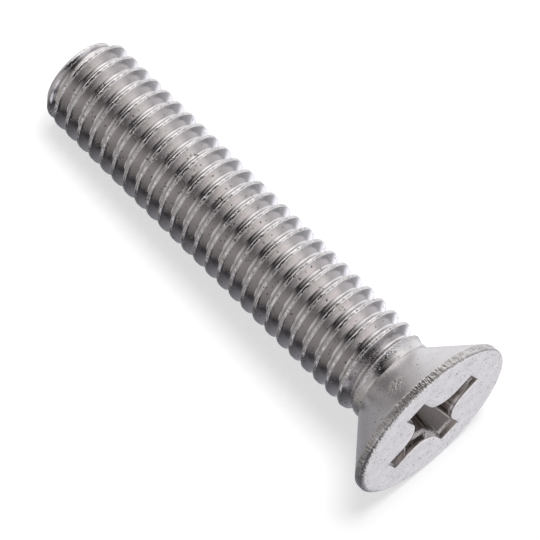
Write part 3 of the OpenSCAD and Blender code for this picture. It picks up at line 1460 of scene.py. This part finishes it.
class Studio:
    """Pale table, one soft overhead light, and a room with cards that the metal shows.

    The overhead light's width and place are in millimetres, the floor's half width
    in metres.
    """

    TOP_WIDTH = 160.0
    TOP_POWER = 0.7
    TOP_PLACE = (0.0, 75.0, 335.0)
    FLOOR_HALF = 2.0
    FLOOR_COLOR = (0.66, 0.66, 0.665, 1.0)

    def __init__(self) -> None:
        """States the cards and the lights."""
        bluish = (0.98, 0.99, 1.07)
        warm = (1.02, 1.0, 0.95)
        neutral = (1.02, 0.99, 1.0)
        self.cards = [
            SoftCard("right", 120.0, -8.0, 77.0, 0.9),
            SoftCard("high right", 75.0, 45.0, 30.0, 0.81, bluish),
            SoftCard("before the head", 15.0, 16.0, 53.0, 0.98, neutral),
            SoftCard("before the end", 150.0, 23.0, 37.0, 0.75, warm),
            SoftCard("high before the end", 140.0, 38.0, 45.0, 0.41, warm),
            SoftCard("above the end", 180.0, 30.0, 30.0, 0.86, neutral),
            SoftCard("left of the end", 225.0, 0.0, 60.0, 0.5, warm),
            SoftCard("high left", 280.0, 38.0, 45.0, 0.56, neutral),
            SoftCard("left of the head", 300.0, 22.0, 22.0, 0.72, bluish),
            SoftCard("low left", 290.0, -15.0, 22.0, 0.96, bluish),
            SoftCard("table before the head", 15.0, -30.0, 30.0, 1.97),
            SoftCard("table below the face", 60.0, -67.0, 22.0, 0.93, bluish),
            SoftCard("table", 105.0, -61.0, 93.0, 0.31, bluish),
        ]
        self.room_light = (0.028, 0.026, 0.028)
        self.table_light = (0.3, 0.3, 0.305)
        self.table_glow = 0.53

    def top_light(self) -> bpy.types.Object:
        """Makes the overhead light, which the table's shadow comes from.

        Returns:
            The light, which no reflection shows.
        """
        data = bpy.data.lights.new("top", "AREA")
        data.shape = "DISK"
        data.size = self.TOP_WIDTH * MM
        data.energy = self.TOP_POWER
        light = bpy.data.objects.new("top", data)
        place = Vector(self.TOP_PLACE)
        light.location = place * MM
        light.rotation_euler = place.to_track_quat("Z", "Y").to_euler()
        light.visible_glossy = False
        bpy.context.scene.collection.objects.link(light)
        return light

    def floor(self) -> bpy.types.Object:
        """Makes the table that the screw lies on.

        It glows a little to the camera alone, so that it comes out white and still
        keeps the screw's shadow.

        Returns:
            The table, which no reflection shows.
        """
        half = self.FLOOR_HALF
        mesh = bpy.data.meshes.new("floor")
        corners = [(-half, -half, 0), (half, -half, 0), (half, half, 0), (-half, half, 0)]
        mesh.from_pydata(corners, [], [(0, 1, 2, 3)])
        material = bpy.data.materials.new("floor")
        material.use_nodes = True
        shader = material.node_tree.nodes["Principled BSDF"]
        shader.inputs["Base Color"].default_value = self.FLOOR_COLOR
        shader.inputs["Emission Color"].default_value = (1.0, 1.0, 1.0, 1.0)
        tree = material.node_tree
        path = tree.nodes.new("ShaderNodeLightPath")
        glow = tree.nodes.new("ShaderNodeMath")
        glow.operation = "MULTIPLY"
        glow.inputs[1].default_value = self.table_glow
        tree.links.new(path.outputs["Is Camera Ray"], glow.inputs[0])
        tree.links.new(glow.outputs[0], shader.inputs["Emission Strength"])
        shader.inputs["Roughness"].default_value = 1.0
        shader.inputs["Specular IOR Level"].default_value = 0.0
        mesh.materials.append(material)
        made = bpy.data.objects.new("floor", mesh)
        made.visible_glossy = False
        bpy.context.scene.collection.objects.link(made)
        return made

    @staticmethod
    def card_group() -> bpy.types.NodeTree:
        """Builds the shared group that makes one card's light.

        Returns:
            A group whose light is full towards the card's middle and falls smoothly
            to nothing where the cosine of the angle to it reaches the edge.
        """
        group = bpy.data.node_groups.new("SoftCard", "ShaderNodeTree")
        for label, kind in (
            ("Heading", "NodeSocketVector"),
            ("Toward", "NodeSocketVector"),
            ("Edge", "NodeSocketFloat"),
            ("Light", "NodeSocketColor"),
        ):
            group.interface.new_socket(name=label, in_out="INPUT", socket_type=kind)
        group.interface.new_socket(name="Light", in_out="OUTPUT", socket_type="NodeSocketColor")
        given = group.nodes.new("NodeGroupInput")
        result = group.nodes.new("NodeGroupOutput")
        dot = group.nodes.new("ShaderNodeVectorMath")
        dot.operation = "DOT_PRODUCT"
        group.links.new(given.outputs["Heading"], dot.inputs[0])
        group.links.new(given.outputs["Toward"], dot.inputs[1])
        fall = group.nodes.new("ShaderNodeMapRange")
        fall.interpolation_type = "SMOOTHSTEP"
        group.links.new(dot.outputs["Value"], fall.inputs["Value"])
        group.links.new(given.outputs["Edge"], fall.inputs["From Min"])
        fall.inputs["From Max"].default_value = 1.0
        scaled = group.nodes.new("ShaderNodeVectorMath")
        scaled.operation = "SCALE"
        group.links.new(given.outputs["Light"], scaled.inputs[0])
        group.links.new(fall.outputs["Result"], scaled.inputs["Scale"])
        group.links.new(scaled.outputs[0], result.inputs["Light"])
        return group

    def room(self) -> None:
        """Sets the world: white to the camera, even light to the table, cards to the metal."""
        world = bpy.data.worlds.new("room")
        bpy.context.scene.world = world
        world.use_nodes = True
        world.cycles.sampling_method = "NONE"
        tree = world.node_tree
        tree.nodes.clear()
        output = tree.nodes.new("ShaderNodeOutputWorld")
        white = self.background(tree, (1.0, 1.0, 1.0))
        even = self.background(tree, self.table_light)
        seen = self.background(tree, self.room_light)
        place = tree.nodes.new("ShaderNodeTexCoord")
        group = self.card_group()
        total = tree.nodes.new("ShaderNodeVectorMath")
        total.inputs[0].default_value = self.room_light
        for card in self.cards:
            tree.links.new(card.add_to(tree, group, place.outputs["Generated"]), total.inputs[1])
            following = tree.nodes.new("ShaderNodeVectorMath")
            tree.links.new(total.outputs[0], following.inputs[0])
            total = following
        tree.links.new(total.outputs[0], seen.inputs["Color"])
        path = tree.nodes.new("ShaderNodeLightPath")
        metal = self.mix(tree, path.outputs["Is Glossy Ray"], even, seen)
        shown = self.mix(tree, path.outputs["Is Camera Ray"], metal, white)
        tree.links.new(shown.outputs[0], output.inputs[0])

    @staticmethod
    def background(tree: bpy.types.NodeTree, color: tuple) -> bpy.types.Node:
        """Adds a background of one colour.

        Args:
            tree: The room's node tree.
            color: Its three parts.

        Returns:
            The background's node.
        """
        node = tree.nodes.new("ShaderNodeBackground")
        node.inputs["Color"].default_value = (*color, 1.0)
        return node

    @staticmethod
    def mix(
        tree: bpy.types.NodeTree,
        share: bpy.types.NodeSocket,
        first: bpy.types.Node,
        second: bpy.types.Node,
    ) -> bpy.types.Node:
        """Adds a mix of two shaders.

        Args:
            tree: The room's node tree.
            share: Socket with the share of the second shader.
            first: Node of the first shader.
            second: Node of the second shader.

        Returns:
            The mix's node.
        """
        node = tree.nodes.new("ShaderNodeMixShader")
        tree.links.new(share, node.inputs[0])
        tree.links.new(first.outputs[0], node.inputs[1])
        tree.links.new(second.outputs[0], node.inputs[2])
        return node

    def build(self) -> bpy.types.Object:
        """Makes the whole studio.

        Returns:
            Its floor.
        """
        self.room()
        self.top_light()
        return self.floor()


def main() -> None:
    """Builds the screw, the studio and the camera."""
    logging.basicConfig(level=logging.INFO, format="%(message)s")
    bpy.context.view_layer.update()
    bpy.context.scene.view_settings.view_transform = "Standard"
    View().build()
    screw = Screw().build(Placement(frame["record"]))
    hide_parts("screw")
    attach(screw, "root")
    LOG.info("screw: %d triangles", len(screw.data.polygons))
    Studio().build()


if __name__ == "__main__":
    main()
